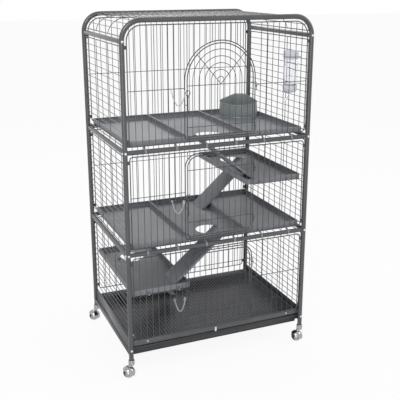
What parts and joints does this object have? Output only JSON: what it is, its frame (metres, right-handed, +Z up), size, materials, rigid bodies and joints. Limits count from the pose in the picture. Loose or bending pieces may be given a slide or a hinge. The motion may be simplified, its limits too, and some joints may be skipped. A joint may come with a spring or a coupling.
{
  "type": "ferret cage",
  "caption": "Tall arched wire cage on ball casters with hinged doors, shelf pans with holes, ramps, a litter pan, a water bottle and a pull-out base tray.",
  "frame": {"origin": "middle of the box around the cage, on the floor", "axes": "+Z up, +Y from the front to the rear, +X to the right seen from the front"},
  "size_m": [0.9548, 0.6954, 1.629],
  "materials": {
    "tube_paint": "satin dark powder coat",
    "wire_paint": "satin dark powder coat",
    "sheet_paint": "fine textured powder coat",
    "bright_steel": "bright zinc",
    "chrome": "polished",
    "litter_plastic": "gloss moulded",
    "clear_plastic": "clear"
  },
  "bodies": {
    "root": {"arch_frame_front": "tube_paint", "arch_frame_rear": "tube_paint", "front_rail_lower": "tube_paint", "front_rail_upper": "tube_paint", "rear_rail_base": "tube_paint", "rear_rail_lower": "tube_paint", "rear_rail_upper": "tube_paint", "side_rail_left_lower": "tube_paint", "side_rail_left_upper": "tube_paint", "side_rail_left_top": "tube_paint", "side_rail_right_lower": "tube_paint", "side_rail_right_upper": "tube_paint", "side_rail_right_top": "tube_paint", "front_panel_bottom": "wire_paint", "rear_panel_bottom": "wire_paint", "side_panel_left_bottom": "wire_paint", "side_panel_right_bottom": "wire_paint", "front_panel_middle": "wire_paint", "rear_panel_middle": "wire_paint", "side_panel_left_middle": "wire_paint", "side_panel_right_middle": "wire_paint", "front_panel_top": "wire_paint", "rear_panel_top": "wire_paint", "side_panel_left_top": "wire_paint", "side_panel_right_top": "wire_paint", "roof_panel": "wire_paint", "shelf_pan_lower_left": "sheet_paint", "shelf_pan_lower_middle": "sheet_paint", "shelf_pan_lower_right": "sheet_paint", "shelf_pan_upper_left": "sheet_paint", "shelf_pan_upper_middle": "sheet_paint", "shelf_pan_upper_right": "sheet_paint", "half_shelf_right": "sheet_paint", "half_shelf_left": "sheet_paint", "water_bottle": "clear_plastic", "bottle_spout": "bright_steel", "base_skirt_left": "sheet_paint", "base_skirt_right": "sheet_paint"},
    "door_bottom": {"door_bottom": "wire_paint"},
    "latch_bottom": {"latch_slide_bottom": "wire_paint"},
    "door_middle": {"door_middle": "wire_paint"},
    "latch_middle": {"latch_slide_middle": "wire_paint"},
    "door_top": {"door_top": "wire_paint"},
    "latch_top": {"latch_slide_top": "wire_paint"},
    "ramp_upper": {"ramp_upper": "sheet_paint"},
    "ramp_middle": {"ramp_middle": "sheet_paint"},
    "ramp_lower": {"ramp_lower": "sheet_paint"},
    "ramp_floor": {"ramp_floor": "sheet_paint"},
    "litter_pan": {"litter_pan": "litter_plastic"},
    "base_tray": {"base_tray": "sheet_paint"},
    "floor_grate": {"floor_grate": "wire_paint"},
    "turn_tab": {"turn_tab": "bright_steel"},
    "caster_swivel_front_left": {"caster_horn_front_left": "chrome"},
    "caster_ball_front_left": {"caster_ball_front_left": "chrome"},
    "caster_swivel_front_right": {"caster_horn_front_right": "chrome"},
    "caster_ball_front_right": {"caster_ball_front_right": "chrome"},
    "caster_swivel_rear_left": {"caster_horn_rear_left": "chrome"},
    "caster_ball_rear_left": {"caster_ball_rear_left": "chrome"},
    "caster_swivel_rear_right": {"caster_horn_rear_right": "chrome"},
    "caster_ball_rear_right": {"caster_ball_rear_right": "chrome"}
  },
  "joints": [
    {"name": "door_bottom_swing", "type": "hinge", "parent": "root", "child": "door_bottom", "pos_m": [0.18316, -0.3189, 0.291], "axis": [0, 0, 1], "range_deg": [0, 170]},
    {"name": "latch_bottom_lift", "type": "slide", "parent": "door_bottom", "child": "latch_bottom", "axis": [0, 0, 1], "range_m": [0, 0.012]},
    {"name": "door_middle_swing", "type": "hinge", "parent": "root", "child": "door_middle", "pos_m": [0.18316, -0.3189, 0.739], "axis": [0, 0, 1], "range_deg": [0, 170]},
    {"name": "latch_middle_lift", "type": "slide", "parent": "door_middle", "child": "latch_middle", "axis": [0, 0, 1], "range_m": [0, 0.012]},
    {"name": "door_top_swing", "type": "hinge", "parent": "root", "child": "door_top", "pos_m": [0.18316, -0.3189, 1.205], "axis": [0, 0, 1], "range_deg": [0, 170]},
    {"name": "latch_top_lift", "type": "slide", "parent": "door_top", "child": "latch_top", "axis": [0, 0, 1], "range_m": [0, 0.012]},
    {"name": "ramp_upper_tilt", "type": "hinge", "parent": "root", "child": "ramp_upper", "pos_m": [-0.04803, -0.1725, 1.0858], "axis": [0, -1, 0], "range_deg": [0, 15]},
    {"name": "ramp_middle_tilt", "type": "hinge", "parent": "root", "child": "ramp_middle", "pos_m": [0.35952, 0.1725, 0.8568], "axis": [0, 1, 0], "range_deg": [0, 15]},
    {"name": "ramp_lower_tilt", "type": "hinge", "parent": "root", "child": "ramp_lower", "pos_m": [0.07435, -0.1725, 0.6198], "axis": [0, 1, 0], "range_deg": [0, 15]},
    {"name": "ramp_floor_tilt", "type": "hinge", "parent": "root", "child": "ramp_floor", "pos_m": [-0.3332, 0.1725, 0.3908], "axis": [0, -1, 0], "range_deg": [0, 15]},
    {"name": "litter_pan_lift", "type": "slide", "parent": "root", "child": "litter_pan", "axis": [0, 0, 1], "range_m": [0, 0.1]},
    {"name": "base_tray_slide", "type": "slide", "parent": "root", "child": "base_tray", "axis": [0, -1, 0], "range_m": [0, 0.48]},
    {"name": "floor_grate_slide", "type": "slide", "parent": "root", "child": "floor_grate", "axis": [0, -1, 0], "range_m": [0, 0.48]},
    {"name": "turn_tab_turn", "type": "hinge", "parent": "floor_grate", "child": "turn_tab", "pos_m": [-0.00884, -0.316, 0.165], "axis": [0, 1, 0], "range_deg": [-90, 90]},
    {"name": "caster_front_left_swivel", "type": "hinge", "parent": "root", "child": "caster_swivel_front_left", "pos_m": [-0.43384, -0.3145, 0.07], "axis": [0, 0, 1], "continuous": true},
    {"name": "caster_front_left_roll", "type": "hinge", "parent": "caster_swivel_front_left", "child": "caster_ball_front_left", "pos_m": [-0.44984, -0.3145, 0.025], "axis": [0, 1, 0], "continuous": true},
    {"name": "caster_front_right_swivel", "type": "hinge", "parent": "root", "child": "caster_swivel_front_right", "pos_m": [0.46016, -0.3145, 0.07], "axis": [0, 0, 1], "continuous": true},
    {"name": "caster_front_right_roll", "type": "hinge", "parent": "caster_swivel_front_right", "child": "caster_ball_front_right", "pos_m": [0.44416, -0.3145, 0.025], "axis": [0, 1, 0], "continuous": true},
    {"name": "caster_rear_left_swivel", "type": "hinge", "parent": "root", "child": "caster_swivel_rear_left", "pos_m": [-0.43384, 0.3145, 0.07], "axis": [0, 0, 1], "continuous": true},
    {"name": "caster_rear_left_roll", "type": "hinge", "parent": "caster_swivel_rear_left", "child": "caster_ball_rear_left", "pos_m": [-0.44984, 0.3145, 0.025], "axis": [0, 1, 0], "continuous": true},
    {"name": "caster_rear_right_swivel", "type": "hinge", "parent": "root", "child": "caster_swivel_rear_right", "pos_m": [0.46016, 0.3145, 0.07], "axis": [0, 0, 1], "continuous": true},
    {"name": "caster_rear_right_roll", "type": "hinge", "parent": "caster_swivel_rear_right", "child": "caster_ball_rear_right", "pos_m": [0.44416, 0.3145, 0.025], "axis": [0, 1, 0], "continuous": true}
  ]
}
